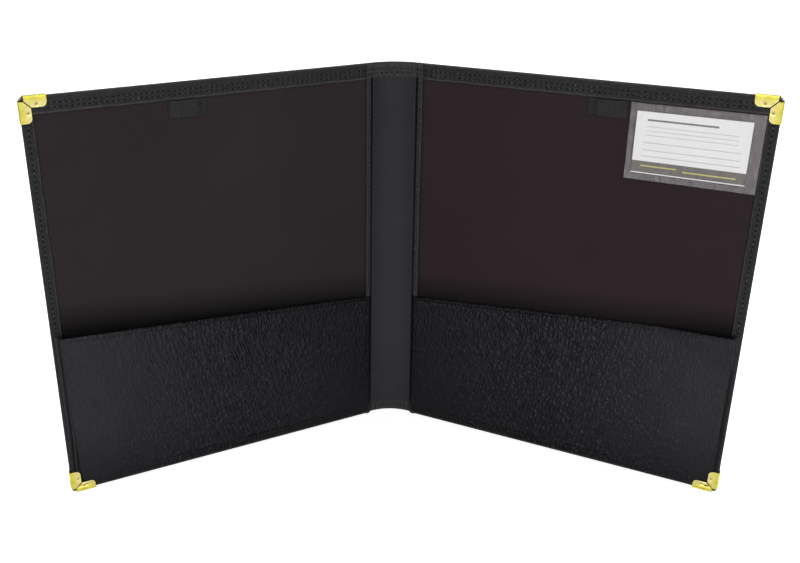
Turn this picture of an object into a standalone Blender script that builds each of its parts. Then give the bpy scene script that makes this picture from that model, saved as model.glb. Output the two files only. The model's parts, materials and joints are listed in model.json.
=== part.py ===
"""A music folder standing open: two stiff covers that swing on a soft spine, a music pocket
at the foot of each cover, brass corners, pencil loops and a clear sleeve with a card.

Every cover is drawn in its own frame: u runs from the fold to the outer edge, n runs from the
fold's axis towards the reader, and z runs up from the cover's lower edge. Lengths are in metres.
"""
import math

import bmesh
import bpy
from mathutils import Matrix, Vector

# Whole folder
COVER_WIDTH = 0.305
COVER_HEIGHT = 0.356
SPINE_WIDTH = 0.039
COVER_SWING = math.radians(27.3)
LAYER_GAP = 0.00025

# Sheet materials
LEATHERETTE = 0.0007
BOARD = 0.002
LINING = 0.0004
BRASS = 0.0004
GUSSET_SHEET = 0.0005
LOOP_STRAP = 0.0006

# Folds and hems of the covers
FOLD_SLIT = 0.00025
FOLD_RELIEF = 0.0012
BOARD_SETBACK = 0.0054
HINGE_BAND_WIDTH = 0.008
TOP_HEM = 0.0145
SIDE_HEM = 0.009
BOTTOM_HEM = 0.010
SPINE_STEPS = 14

# Brass corners
CORNER_LEG = 0.022
CORNER_LEG_WIDTH = 0.009
CORNER_END_RADIUS = 0.004
CORNER_MITRE_SLIT = 0.0003
CORNER_ARC_STEPS = 5

# Pencil loops
LOOP_SLEEVE_SPACE = 0.0025
LOOP_WIDTH = 0.0325
LOOP_HEIGHT = 0.014
LOOP_FOOT = 0.003
LOOP_BOW = 0.0028
LOOP_STEPS = 12

# Pockets
POCKET_FOOT = 0.003
POCKET_SPINE_SIDE = 0.005
POCKET_SPINE_HEIGHT = 0.1315
POCKET_OUTER_HEIGHT = 0.156
POCKET_FOLD_FOOT = 0.024
LEFT_POCKET_INSET = 0.010
RIGHT_POCKET_INSET = 0.005
LEFT_POCKET_RISE = 0.013
RIGHT_POCKET_RISE = 0.009
GUSSET_EDGE_INSET = 0.0014
GUSSET_CLEARANCE = 0.0003
GUSSET_PLEAT_DEPTH = 0.005
GUSSET_CREASE = 0.00015

# Card and its sleeve, on the right cover
SLEEVE_WIDTH = 0.1035
SLEEVE_HEIGHT = 0.0635
SLEEVE_SIDE_WELD = 0.004
SLEEVE_FOOT_WELD = 0.006
SLEEVE_BACK = 0.0005
SLEEVE_FRONT = 0.0003
CARD_WIDTH = 0.089
CARD_HEIGHT = 0.051
CARD_THICKNESS = 0.00035
CARD_SIDE_PLAY = 0.0017

# How far a cutter runs past the face it opens, and the creases that stay sharp in shading
CUTTER_OVERRUN = 0.01
SHARP_CREASE = math.radians(35)

# Colours from the photograph, as linear red, green and blue
LEATHERETTE_BLACK = (0.031, 0.030, 0.035)
SPINE_BLACK = (0.036, 0.035, 0.041)
POCKET_BLACK = (0.030, 0.029, 0.037)
LINING_BROWN = (0.030, 0.020, 0.022)
BOARD_GREY = (0.30, 0.28, 0.25)
BRASS_YELLOW = (0.76, 0.60, 0.10)
FILM_GREY = (0.20, 0.19, 0.20)
CARD_WHITE = (0.80, 0.80, 0.80)

# Levels across a cover, counted from the fold's axis towards the reader
SKIN_BACK = -LEATHERETTE / 2
SKIN_FRONT = LEATHERETTE / 2
BOARD_BACK = SKIN_FRONT + LAYER_GAP
BOARD_FRONT = BOARD_BACK + BOARD
LINING_BACK = BOARD_FRONT + LAYER_GAP
LINING_FRONT = LINING_BACK + LINING
HEM_BACK = LINING_FRONT + LAYER_GAP
HEM_FRONT = HEM_BACK + LEATHERETTE
POCKET_BACK = HEM_FRONT + LAYER_GAP
POCKET_FRONT = POCKET_BACK + LEATHERETTE

CORNER_PROUD = LAYER_GAP + BRASS
SPINE_RADIUS = SPINE_WIDTH / 2 / math.sin(COVER_SWING)
SPINE_CENTRE_Y = -SPINE_RADIUS * math.cos(COVER_SWING)
SIDES = {"left": -1, "right": 1}
POCKET_INSET = {"left": LEFT_POCKET_INSET, "right": RIGHT_POCKET_INSET}
POCKET_RISE = {"left": LEFT_POCKET_RISE, "right": RIGHT_POCKET_RISE}

# The card sleeve fills the corner between the hems, and the loops hang beside its place
SLEEVE_RIGHT = COVER_WIDTH - SIDE_HEM - LAYER_GAP
SLEEVE_LEFT = SLEEVE_RIGHT - SLEEVE_WIDTH
BELOW_TOP_HEM = COVER_HEIGHT - TOP_HEM - LAYER_GAP
LOOP_CENTRE = SLEEVE_LEFT - LOOP_SLEEVE_SPACE - LOOP_WIDTH / 2


def clear_scene():
    """Remove whatever the scene holds, so that the script can run again."""
    for obj in list(bpy.data.objects):
        bpy.data.objects.remove(obj, do_unlink=True)


def make_material(name, colour, roughness, metallic=0.0, alpha=1.0):
    """A Principled material in the piece's photographed colour."""
    material = bpy.data.materials.new(name)
    material.use_nodes = True
    shader = material.node_tree.nodes["Principled BSDF"]
    shader.inputs["Base Color"].default_value = (*colour, 1.0)
    shader.inputs["Roughness"].default_value = roughness
    shader.inputs["Metallic"].default_value = metallic
    shader.inputs["Alpha"].default_value = alpha
    return material


def make_empty(name, parent=None):
    """An empty that carries the pieces that move together."""
    empty = bpy.data.objects.new(name, None)
    empty.parent = parent
    bpy.context.collection.objects.link(empty)
    return empty


def add_object(name, mesh_data, parent, side="right"):
    """Turn a bmesh drawn for the right side into an object, mirrored for the left side."""
    bmesh.ops.scale(mesh_data, vec=(SIDES[side], 1, 1), verts=mesh_data.verts)
    bmesh.ops.recalc_face_normals(mesh_data, faces=mesh_data.faces)
    mesh = bpy.data.meshes.new(name)
    mesh_data.to_mesh(mesh)
    mesh_data.free()
    obj = bpy.data.objects.new(name, mesh)
    obj.parent = parent
    bpy.context.collection.objects.link(obj)
    return obj


def loft(sections, ribbon=False):
    """A closed bmesh skinned over sections that have the same number of points.

    A ribbon's section runs out along one face and back along the other, point for point, so its
    ends are closed by a strip of quads.
    """
    mesh_data = bmesh.new()
    rings = [[mesh_data.verts.new(point) for point in section] for section in sections]
    count = len(rings[0])
    for low, high in zip(rings, rings[1:]):
        for k in range(count):
            following = (k + 1) % count
            mesh_data.faces.new((low[k], low[following], high[following], high[k]))
    for ring in (rings[0], rings[-1]):
        if ribbon:
            for k in range(count // 2 - 1):
                mesh_data.faces.new((ring[k], ring[k + 1], ring[-k - 2], ring[-k - 1]))
        else:
            mesh_data.faces.new(ring)
    return mesh_data


def cover_point(u, n, z):
    """A point of a right cover in its empty's frame, with z counted from the lower edge."""
    return Vector((u, -n, z + CORNER_PROUD))


def column(profile, z_low, z_high):
    """A cover's (u, n) profile drawn out along the height."""
    return loft([[cover_point(u, n, z) for u, n in profile] for z in (z_low, z_high)],
                ribbon=True)


def sheet(outline, n_low, n_high):
    """A cover's (u, z) outline given a thickness towards the reader."""
    return loft([[cover_point(u, n, z) for u, z in outline] for n in (n_low, n_high)])


def block(u_range, n_range, z_range):
    """A plain block of a cover."""
    u_low, u_high = u_range
    n_low, n_high = n_range
    profile = [(u_low, n_low), (u_high, n_low), (u_high, n_high), (u_low, n_high)]
    return column(profile, *z_range)


def cut(target, cutter):
    """Take the cutter's space out of the target, and keep the cutter as a hidden guide."""
    cutter.hide_render = True
    cutter.display_type = "WIRE"
    modifier = target.modifiers.new(cutter.name, "BOOLEAN")
    modifier.operation = "DIFFERENCE"
    modifier.solver = "EXACT"
    modifier.object = cutter


def paint(obj, colour, roughness, metallic=0.0, alpha=1.0):
    """Give the object its own material."""
    obj.data.materials.append(make_material(obj.name, colour, roughness, metallic, alpha))


def spine_sheet(name, parent, n_back, n_front, end_gap, colour, roughness):
    """One layer of the spine: an arc that bulges backwards and meets both covers in line."""
    inner = SPINE_RADIUS - n_front
    outer = SPINE_RADIUS - n_back
    half_angle = COVER_SWING - end_gap / SPINE_RADIUS
    angles = [half_angle * (2 * k / SPINE_STEPS - 1) for k in range(SPINE_STEPS + 1)]
    outline = [(outer * math.sin(a), SPINE_CENTRE_Y + outer * math.cos(a)) for a in angles]
    outline += [(inner * math.sin(a), SPINE_CENTRE_Y + inner * math.cos(a))
                for a in reversed(angles)]
    top = COVER_HEIGHT + CORNER_PROUD
    sections = [[Vector((x, y, z)) for x, y in outline] for z in (0, top)]
    obj = add_object(name, loft(sections, ribbon=True), parent)
    obj.data.shade_smooth()
    obj.data.set_sharp_from_angle(angle=SHARP_CREASE)
    paint(obj, colour, roughness)
    return obj


def build_cover_skin(side, cover):
    """Leatherette over the cover's outside, turned over three edges and left open at the fold."""
    name = side + "_cover_skin"
    skin = add_object(name, block((FOLD_SLIT, COVER_WIDTH), (SKIN_BACK, HEM_FRONT),
                                  (0, COVER_HEIGHT)), cover, side)
    inside = block((-CUTTER_OVERRUN, COVER_WIDTH - LEATHERETTE), (SKIN_FRONT, HEM_BACK),
                   (LEATHERETTE, COVER_HEIGHT - LEATHERETTE))
    cut(skin, add_object(name + "_inside_cutter", inside, cover, side))
    window = block((-CUTTER_OVERRUN, COVER_WIDTH - SIDE_HEM),
                   (LINING_FRONT, HEM_FRONT + CUTTER_OVERRUN),
                   (BOTTOM_HEM, COVER_HEIGHT - TOP_HEM))
    cut(skin, add_object(name + "_window_cutter", window, cover, side))
    fold_side = HINGE_BAND_WIDTH + LAYER_GAP
    fold = block((-CUTTER_OVERRUN, fold_side), (SKIN_FRONT, HEM_FRONT + CUTTER_OVERRUN),
                 (-CUTTER_OVERRUN, COVER_HEIGHT + CUTTER_OVERRUN))
    cut(skin, add_object(name + "_fold_cutter", fold, cover, side))
    paint(skin, LEATHERETTE_BLACK, 0.45)


def build_cover_layers(side, cover):
    """The stiff board, the cloth lining and the strip that sews the spine's inside down."""
    inset = LEATHERETTE + LAYER_GAP
    u_range = (BOARD_SETBACK, COVER_WIDTH - inset)
    z_range = (inset, COVER_HEIGHT - inset)
    board = add_object(side + "_cover_board", block(u_range, (BOARD_BACK, BOARD_FRONT), z_range),
                       cover, side)
    paint(board, BOARD_GREY, 0.9)
    lining = add_object(side + "_lining", block(u_range, (LINING_BACK, LINING_FRONT), z_range),
                        cover, side)
    paint(lining, LINING_BROWN, 0.9)
    ramp_top = BOARD_SETBACK - LAYER_GAP
    ramp_lead = LEATHERETTE * (ramp_top - FOLD_RELIEF) / (HEM_BACK - BOARD_BACK) / 2
    band_profile = [
        (FOLD_RELIEF, BOARD_BACK), (ramp_top, HEM_BACK), (HINGE_BAND_WIDTH, HEM_BACK),
        (HINGE_BAND_WIDTH, HEM_FRONT), (ramp_top - ramp_lead, HEM_FRONT),
        (FOLD_RELIEF, BOARD_BACK + LEATHERETTE),
    ]
    band = add_object(side + "_hinge_band", column(band_profile, 0, COVER_HEIGHT), cover, side)
    paint(band, SPINE_BLACK, 0.5)


def corner_outline():
    """A brass corner's outline, as distances from its tip along the two edges of the cover."""
    leg, width, radius = CORNER_LEG, CORNER_LEG_WIDTH, CORNER_END_RADIUS
    arc = [k * math.pi / 2 / CORNER_ARC_STEPS for k in range(CORNER_ARC_STEPS + 1)]
    end = [(leg - radius + radius * math.cos(a), width - radius + radius * math.sin(a))
           for a in arc]
    return [(0, 0), (leg, 0)] + end + [(b, a) for a, b in reversed(end)] + [(0, leg)]


def build_corner(side, cover, name, at_top, clamped_front):
    """A sheet brass corner: a plate on the outside, two walls and two mitred legs inside."""
    name = side + "_" + name

    def place(a, b):
        height = COVER_HEIGHT + CORNER_PROUD - b if at_top else b - CORNER_PROUD
        return (COVER_WIDTH + CORNER_PROUD - a, height)

    def corner_block(a_range, b_range, n_range):
        corners = [(a_range[0], b_range[0]), (a_range[1], b_range[0]),
                   (a_range[1], b_range[1]), (a_range[0], b_range[1])]
        return sheet([place(a, b) for a, b in corners], *n_range)

    beyond = CORNER_LEG + CUTTER_OVERRUN
    back = SKIN_BACK - LAYER_GAP
    front = clamped_front + LAYER_GAP
    corner = add_object(name, sheet([place(a, b) for a, b in corner_outline()],
                                    back - BRASS, front + BRASS), cover, side)
    inside = corner_block((BRASS, beyond), (BRASS, beyond), (back, front))
    cut(corner, add_object(name + "_inside_cutter", inside, cover, side))
    window = corner_block((CORNER_LEG_WIDTH, beyond), (CORNER_LEG_WIDTH, beyond),
                          ((back + front) / 2, front + 2 * BRASS))
    cut(corner, add_object(name + "_window_cutter", window, cover, side))
    half_slit = CORNER_MITRE_SLIT / math.sqrt(2)
    reach = CORNER_LEG_WIDTH + BRASS
    mitre = [(-BRASS + half_slit, -BRASS - half_slit), (reach + half_slit, reach - half_slit),
             (reach - half_slit, reach + half_slit), (-BRASS - half_slit, -BRASS + half_slit)]
    mitre_cutter = sheet([place(a, b) for a, b in mitre], (back + front) / 2, front + 2 * BRASS)
    cut(corner, add_object(name + "_mitre_cutter", mitre_cutter, cover, side))
    paint(corner, BRASS_YELLOW, 0.25, metallic=1.0)


def build_pencil_loop(side, cover):
    """A short strap sewn down at both ends and bowed between them, just under the top hem."""
    half = LOOP_WIDTH / 2
    arch_half = half - LOOP_FOOT
    stations = [arch_half * (2 * k / LOOP_STEPS - 1) for k in range(LOOP_STEPS + 1)]
    arch = [(x, LOOP_BOW * math.cos(x / arch_half * math.pi / 2) ** 2) for x in stations]
    line = [(-half, 0)] + arch + [(half, 0)]
    back = [(LOOP_CENTRE + x, HEM_BACK + n) for x, n in line]
    front = [(LOOP_CENTRE + x, HEM_BACK + n + LOOP_STRAP) for x, n in reversed(line)]
    strap = column(back + front, BELOW_TOP_HEM - LOOP_HEIGHT, BELOW_TOP_HEM)
    loop = add_object(side + "_pencil_loop", strap, cover, side)
    loop.data.shade_smooth()
    loop.data.set_sharp_from_angle(angle=SHARP_CREASE)
    paint(loop, LEATHERETTE_BLACK, 0.5)


def pocket_fold(side):
    """The pocket's fold line: its outer foot, its direction, its length and its upward normal."""
    foot = Vector((COVER_WIDTH - POCKET_INSET[side], POCKET_FOLD_FOOT))
    head = Vector((POCKET_SPINE_SIDE, POCKET_SPINE_HEIGHT))
    along = (head - foot).normalized()
    upward = Vector((along.y, -along.x))
    return foot, head, along, upward


def flap_reach(side):
    """Distance from the pocket's fold line to the outer corner of its top edge."""
    foot, _, _, upward = pocket_fold(side)
    corner = Vector((COVER_WIDTH - POCKET_INSET[side], POCKET_OUTER_HEIGHT))
    return (corner - foot).dot(upward)


def build_pocket_base(side, cover):
    """The lower part of the pocket front, sewn flat along its foot and its spine side."""
    foot, head, _, upward = pocket_fold(side)
    drop = FOLD_SLIT / upward.y
    outline = [
        (POCKET_SPINE_SIDE, POCKET_FOOT), (foot.x, POCKET_FOOT),
        (foot.x, foot.y - drop), (head.x, head.y - drop),
    ]
    base = add_object(side + "_pocket_base", sheet(outline, POCKET_BACK, POCKET_FRONT),
                      cover, side)
    paint(base, POCKET_BLACK, 0.42)


def build_pocket_flap(side, cover):
    """The upper part of the pocket front, which opens about its diagonal fold line."""
    foot, head, along, upward = pocket_fold(side)
    lift = FOLD_SLIT / upward.y
    middle = (POCKET_BACK + POCKET_FRONT) / 2
    outline = [(foot.x, foot.y + lift), (foot.x, POCKET_OUTER_HEIGHT), (head.x, head.y + lift)]
    mesh_data = sheet(outline, POCKET_BACK, POCKET_FRONT)
    hinge = cover_point(foot.x, middle, foot.y)
    bmesh.ops.translate(mesh_data, vec=-hinge, verts=mesh_data.verts)
    flap = add_object(side + "_pocket_flap", mesh_data, cover, side)
    flap.location = (SIDES[side] * hinge.x, hinge.y, hinge.z)
    opening = math.asin(POCKET_RISE[side] / flap_reach(side))
    axis = Vector((-along.x, 0, -SIDES[side] * along.y))
    flap.rotation_mode = "QUATERNION"
    flap.rotation_quaternion = Matrix.Rotation(opening, 3, axis).to_quaternion()
    paint(flap, POCKET_BLACK, 0.42)


def build_gusset(side, cover):
    """The folded strip that joins the pocket's outer end to the cover, as a W-shaped pleat."""
    # Each crease: share of the way in, share of the pocket's rise, share of the pleat's depth
    creases = [
        (0.0, 0.0, 0.0), (0.25, 0.25, 1.0), (0.5, 0.5, 0.0), (0.75, 0.58, 0.9), (1.0, 0.85, 0.0),
    ]
    outer = GUSSET_EDGE_INSET
    inner = POCKET_INSET[side] - GUSSET_CLEARANCE
    middle = (POCKET_BACK + POCKET_FRONT) / 2
    sections = []
    for z, openness in ((POCKET_FOLD_FOOT, 0), (POCKET_OUTER_HEIGHT, 1)):
        pleat_depth = GUSSET_PLEAT_DEPTH * openness
        line = [(COVER_WIDTH - outer - (inner - outer) * across - pleat_depth * pleat,
                 middle + POCKET_RISE[side] * openness * rise + GUSSET_CREASE * pleat)
                for across, rise, pleat in creases]
        back = [cover_point(u, n - GUSSET_SHEET / 2, z) for u, n in line]
        front = [cover_point(u, n + GUSSET_SHEET / 2, z) for u, n in reversed(line)]
        sections.append(back + front)
    gusset = add_object(side + "_pocket_gusset", loft(sections, ribbon=True), cover, side)
    paint(gusset, POCKET_BLACK, 0.5)


def build_card_sleeve(cover):
    """A clear welded sleeve in the corner between the hems, open at the top, and its card."""
    foot = BELOW_TOP_HEM - SLEEVE_HEIGHT
    card_back = HEM_FRONT + LAYER_GAP + BRASS + LAYER_GAP
    card_front = card_back + CARD_THICKNESS
    film_back = card_front + LAYER_GAP
    welded = block((SLEEVE_LEFT, SLEEVE_RIGHT), (HEM_BACK, film_back + SLEEVE_FRONT),
                   (foot, BELOW_TOP_HEM))
    sleeve = add_object("card_sleeve", welded, cover)
    space = block((SLEEVE_LEFT + SLEEVE_SIDE_WELD, SLEEVE_RIGHT - SLEEVE_SIDE_WELD),
                  (HEM_BACK + SLEEVE_BACK, film_back),
                  (foot + SLEEVE_FOOT_WELD, BELOW_TOP_HEM + CUTTER_OVERRUN))
    cut(sleeve, add_object("card_sleeve_space_cutter", space, cover))
    paint(sleeve, FILM_GREY, 0.2, alpha=0.5)
    card_left = SLEEVE_LEFT + SLEEVE_SIDE_WELD + CARD_SIDE_PLAY
    card_foot = foot + SLEEVE_FOOT_WELD + LAYER_GAP
    card = add_object("name_card", block((card_left, card_left + CARD_WIDTH),
                                         (card_back, card_front),
                                         (card_foot, card_foot + CARD_HEIGHT)), cover)
    paint(card, CARD_WHITE, 0.6)


def build_cover(side, folder):
    """One cover with everything that it carries, swung forward about its fold."""
    cover = make_empty(side + "_cover", folder)
    cover.location = (SIDES[side] * SPINE_WIDTH / 2, 0, 0)
    cover.rotation_euler = (0, 0, -SIDES[side] * COVER_SWING)
    build_cover_skin(side, cover)
    build_cover_layers(side, cover)
    build_corner(side, cover, "top_corner", True, HEM_FRONT)
    build_corner(side, cover, "bottom_corner", False, POCKET_FRONT)
    build_pencil_loop(side, cover)
    build_pocket_base(side, cover)
    build_pocket_flap(side, cover)
    build_gusset(side, cover)
    return cover


def centre_on_floor(folder):
    """Set the folder down with the middle of its floor area at the origin."""
    bpy.context.view_layer.update()
    depth = [(obj.matrix_world @ vertex.co).y
             for obj in bpy.data.objects if obj.type == "MESH" and not obj.hide_render
             for vertex in obj.data.vertices]
    folder.location.y = -(min(depth) + max(depth)) / 2


def build_folder():
    """The whole folder on one empty."""
    clear_scene()
    folder = make_empty("folder")
    spine_sheet("spine_skin", folder, SKIN_BACK, SKIN_FRONT, FOLD_SLIT, LEATHERETTE_BLACK, 0.45)
    spine_sheet("spine_lining", folder, BOARD_BACK, BOARD_BACK + LEATHERETTE, FOLD_RELIEF,
                SPINE_BLACK, 0.5)
    build_cover("left", folder)
    right_cover = build_cover("right", folder)
    build_card_sleeve(right_cover)
    centre_on_floor(folder)


build_folder()
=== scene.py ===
"""The looks of a music folder that stands open: leatherette, cloth, stitching, brass and film.

Each cover is drawn in its own directions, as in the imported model: u runs from the fold to the
outer edge, n from the fold's axis towards the reader, and z up from the floor. A negative u runs
back along the spine's arc. Lengths are in metres.
"""

import json
import math

import bmesh
import bpy
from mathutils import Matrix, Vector, noise


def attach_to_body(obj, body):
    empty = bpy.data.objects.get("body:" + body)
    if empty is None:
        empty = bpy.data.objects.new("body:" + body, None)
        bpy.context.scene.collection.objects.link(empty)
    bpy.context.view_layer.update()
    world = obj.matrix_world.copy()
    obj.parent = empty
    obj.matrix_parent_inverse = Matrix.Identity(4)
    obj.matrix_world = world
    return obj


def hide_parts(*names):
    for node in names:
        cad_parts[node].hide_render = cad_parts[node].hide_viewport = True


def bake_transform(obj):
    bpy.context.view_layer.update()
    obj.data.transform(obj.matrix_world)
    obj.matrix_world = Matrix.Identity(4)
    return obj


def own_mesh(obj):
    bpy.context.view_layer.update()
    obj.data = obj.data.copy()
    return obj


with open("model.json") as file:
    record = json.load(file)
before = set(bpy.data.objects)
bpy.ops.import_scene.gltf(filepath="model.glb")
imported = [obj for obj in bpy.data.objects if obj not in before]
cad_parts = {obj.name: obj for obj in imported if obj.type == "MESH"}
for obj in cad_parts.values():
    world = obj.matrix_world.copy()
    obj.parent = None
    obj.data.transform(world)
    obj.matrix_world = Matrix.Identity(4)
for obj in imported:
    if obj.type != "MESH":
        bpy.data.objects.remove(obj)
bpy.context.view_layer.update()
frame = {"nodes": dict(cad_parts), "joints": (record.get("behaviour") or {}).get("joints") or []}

# Layers of a cover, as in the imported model
LEATHERETTE = 0.0007
LINING = 0.0004
BRASS = 0.0004
LAYER_GAP = 0.00025
SIDES = {"left": -1, "right": 1}


def joint(name):
    """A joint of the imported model."""
    return next(item for item in frame["joints"] if item["name"] == name)


HINGE = {side: Vector(joint(side + "_cover_fold")["pos_m"]) for side in SIDES}
COVER_SWING = math.radians(-joint("right_cover_fold")["range_deg"][0])
SPINE_RADIUS = HINGE["right"].x / math.sin(COVER_SWING)
SPINE_CENTRE_Y = HINGE["right"].y - SPINE_RADIUS * math.cos(COVER_SWING)
HALF_SPINE = SPINE_RADIUS * COVER_SWING


def place(side, u, n, z):
    """A point of a cover, or of its half of the spine where u is negative."""
    if u < 0:
        angle = COVER_SWING + u / SPINE_RADIUS
        reach = SPINE_RADIUS - n
        return Vector((SIDES[side] * reach * math.sin(angle),
                       SPINE_CENTRE_Y + reach * math.cos(angle), z))
    across = u * math.cos(COVER_SWING) - n * math.sin(COVER_SWING)
    forward = u * math.sin(COVER_SWING) + n * math.cos(COVER_SWING)
    return Vector((HINGE[side].x + SIDES[side] * across, HINGE[side].y - forward, z))


def extent(node, side):
    """Lowest and highest u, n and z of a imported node, in its cover's directions."""
    found = []
    for vertex in frame["nodes"][node].data.vertices:
        across = (vertex.co.x - HINGE[side].x) * SIDES[side]
        forward = HINGE[side].y - vertex.co.y
        found.append((across * math.cos(COVER_SWING) + forward * math.sin(COVER_SWING),
                      forward * math.cos(COVER_SWING) - across * math.sin(COVER_SWING),
                      vertex.co.z))
    return [(min(values), max(values)) for values in zip(*found)]


(_, COVER_WIDTH), (SKIN_BACK, HEM_FRONT), (FOOT, TOP) = extent("right_cover_skin", "right")
HEM_BACK = HEM_FRONT - LEATHERETTE
(BOARD_START, _), _, _ = extent("right_cover_board", "right")
_, (LINING_BACK, LINING_FRONT), _ = extent("right_lining", "right")
(BAND_START, BAND_END), (BAND_BACK, _), _ = extent("right_hinge_band", "right")
_, (POCKET_BACK, POCKET_FRONT), _ = extent("right_pocket_base", "right")

# Hems and the bends at the edges
TOP_HEM = 0.0135
SIDE_HEM = 0.0084
BOTTOM_HEM = 0.010
EDGE_BEND = 0.0011
EDGE_ROLL = 0.0032
EDGE_DROP = 0.0003
BEND_STEPS = 4
FOLD_REACH = 0.003
CORNER_REACH = 0.024
# How far along both edges the leatherette's top and foot corners are cut off
TOP_TIP_CUT = 0.0034
FOOT_TIP_CUT = 0.0012
BACK_MARGIN = 0.008
# How many rings of the hem, from its cut edge, take a paler leatherette, a painted highlight along
# the edge
HIGHLIT_RINGS = 4

# Rows of stitches, as distances from the edge or the crease beside them
TOP_ROWS = (0.0061, 0.0097)
SIDE_ROWS = (0.0044,)
CREASE_ROW = 0.0056
FOOT_ROWS = (0.0054, 0.0096)
SPINE_FOOT_ROWS = (0.0042, 0.0072)
MOUTH_ROW = 0.0038
GROOVE_DEPTH = 0.0004
GROOVE_WIDTH = 0.0009
STITCH_PITCH = 0.0045
STITCH_LENGTH = 0.0027
THREAD = 0.0007
PUCKER_LENGTH = 0.0022
PUCKER_WIDTH = 0.0020
PUCKER_HEIGHT = 0.0012
PUCKER_RISE = 0.00025
# How far rows run in under a corner, or end short of an edge
ROW_MARGIN = 0.002
BEAD_SIDES = 6

# The dimple over the prong in each brass leg: its place along and across the leg, and its size
PRONG = (0.0132, 0.0064)
PRONG_RADIUS = 0.0011
PRONG_DEPTH = 0.0005


def spread(low, high, count):
    """count + 1 values from low to high at even steps."""
    return [low + (high - low) * k / count for k in range(count + 1)]


def stations(start, *runs):
    """Values from start on, in runs that each have an end and a number of even steps."""
    values = [start]
    for end, count in runs:
        values += spread(start, end, count)[1:]
        start = end
    return values


def smooth_step(t):
    """A soft step from 0 to 1."""
    t = min(1.0, max(0.0, t))
    return t * t * (3 - 2 * t)


def hump(x, width):
    """A smooth hump of height 1 about 0."""
    return math.exp(-(x / width) ** 2)


def quarter_turn(steps):
    """Sine and cosine at even steps of a quarter turn."""
    return [(math.sin(angle), math.cos(angle)) for angle in spread(0, math.pi / 2, steps)]


def turned_edge(radius, front, back):
    """Inset and level round a turned edge, from the front sheet's level to the back one's."""
    bend = quarter_turn(BEND_STEPS)
    line = [(radius * (1 - sine), front - radius * (1 - cosine)) for sine, cosine in bend]
    return line + [(radius * (1 - cosine), back + radius * (1 - sine)) for sine, cosine in bend]


def wander(u, z, wave):
    """How far a wavy sheet is off its place. wave is the waves' height, their size and a seed."""
    height, size, seed = wave
    return height * noise.noise(Vector((u / size, z / size, seed)))


class Surface:
    """A mesh that grows from grids of points and their flat positions on the cut sheet."""

    def __init__(self, name):
        self.name = name
        self.mesh_data = bmesh.new()
        self.flat = self.mesh_data.loops.layers.uv.new("flat")

    def add_grid(self, grid, flip=False, wrap=False, slot=0):
        """Quads over rows of points, each of which comes with its flat position."""
        rows = [[self.mesh_data.verts.new(point) for point, _ in row] for row in grid]
        count = len(rows[0])
        for i in range(len(rows) - 1):
            for j in range(count if wrap else count - 1):
                k = (j + 1) % count
                corners = [(i, j), (i + 1, j), (i + 1, k), (i, k)]
                if flip:
                    corners.reverse()
                face = self.mesh_data.faces.new([rows[a][b] for a, b in corners])
                face.smooth = True
                face.material_index = slot
                for loop, (a, b) in zip(face.loops, corners):
                    loop[self.flat].uv = grid[a][b][1]

    def add_patch(self, side, columns, rows, shape, pitch=1):
        """A grid through shape(a, b), which gives u, n and z at each column a and row b.

        pitch is the distance between columns on the cut sheet, where they are only numbered.
        """
        self.add_grid([[(place(side, *shape(a, b)), (a * pitch, b)) for b in rows]
                       for a in columns], flip=side == "left")

    def finish(self, material, merge=0.0, thickness=0.0, rim=0.0):
        """The object, with its sheet thickness and softened rims as modifiers."""
        if merge:
            bmesh.ops.remove_doubles(self.mesh_data, verts=self.mesh_data.verts, dist=merge)
            bmesh.ops.dissolve_degenerate(self.mesh_data, edges=self.mesh_data.edges, dist=merge)
        mesh = bpy.data.meshes.new(self.name)
        self.mesh_data.to_mesh(mesh)
        self.mesh_data.free()
        mesh.materials.append(material)
        obj = bpy.data.objects.new(self.name, mesh)
        bpy.context.collection.objects.link(obj)
        if thickness:
            solid = obj.modifiers.new("thickness", "SOLIDIFY")
            solid.thickness = thickness
            solid.offset = 0
        if rim:
            bevel = obj.modifiers.new("rim", "BEVEL")
            bevel.width = rim
            bevel.segments = 2
            bevel.limit_method = "ANGLE"
            bevel.angle_limit = math.radians(50)
            bevel.harden_normals = True
        return obj


def sheet(name, side, columns, rows, shape, material, thickness, rim, pitch=1):
    """A sheet of one patch."""
    surface = Surface(name)
    surface.add_patch(side, columns, rows, shape, pitch)
    return surface.finish(material, thickness=thickness, rim=rim)


# Materials


class Nodes:
    """A node tree, with short calls for the nodes that materials and the world share."""

    def __init__(self, owner):
        owner.use_nodes = True
        self.tree = owner.node_tree

    def add(self, kind, inputs=None, **settings):
        """A node with its settings, and its inputs by name or number as values or links."""
        node = self.tree.nodes.new(kind)
        for key, value in settings.items():
            setattr(node, key, value)
        self.give(node, inputs or {})
        return node

    def give(self, node, inputs):
        """Give inputs of a node values or links."""
        for key, value in inputs.items():
            if isinstance(value, bpy.types.NodeSocket):
                self.tree.links.new(value, node.inputs[key])
            else:
                node.inputs[key].default_value = value

    def math(self, operation, a, b=0.0, c=0.0):
        """One step of arithmetic."""
        return self.add("ShaderNodeMath", {0: a, 1: b, 2: c}, operation=operation).outputs[0]

    def ramp(self, value, low, high, to_low=0.0, to_high=1.0):
        """A value brought from one range to another and held at its ends."""
        inputs = {"Value": value, "From Min": low, "From Max": high,
                  "To Min": to_low, "To Max": to_high}
        return self.add("ShaderNodeMapRange", inputs).outputs["Result"]

    def seen(self):
        """Whether the camera sees a place directly, and whether it is mirrored or seen through."""
        path = self.add("ShaderNodeLightPath").outputs
        return path["Is Camera Ray"], self.math("MAXIMUM", path["Is Glossy Ray"],
                                                path["Is Transmission Ray"])


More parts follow.
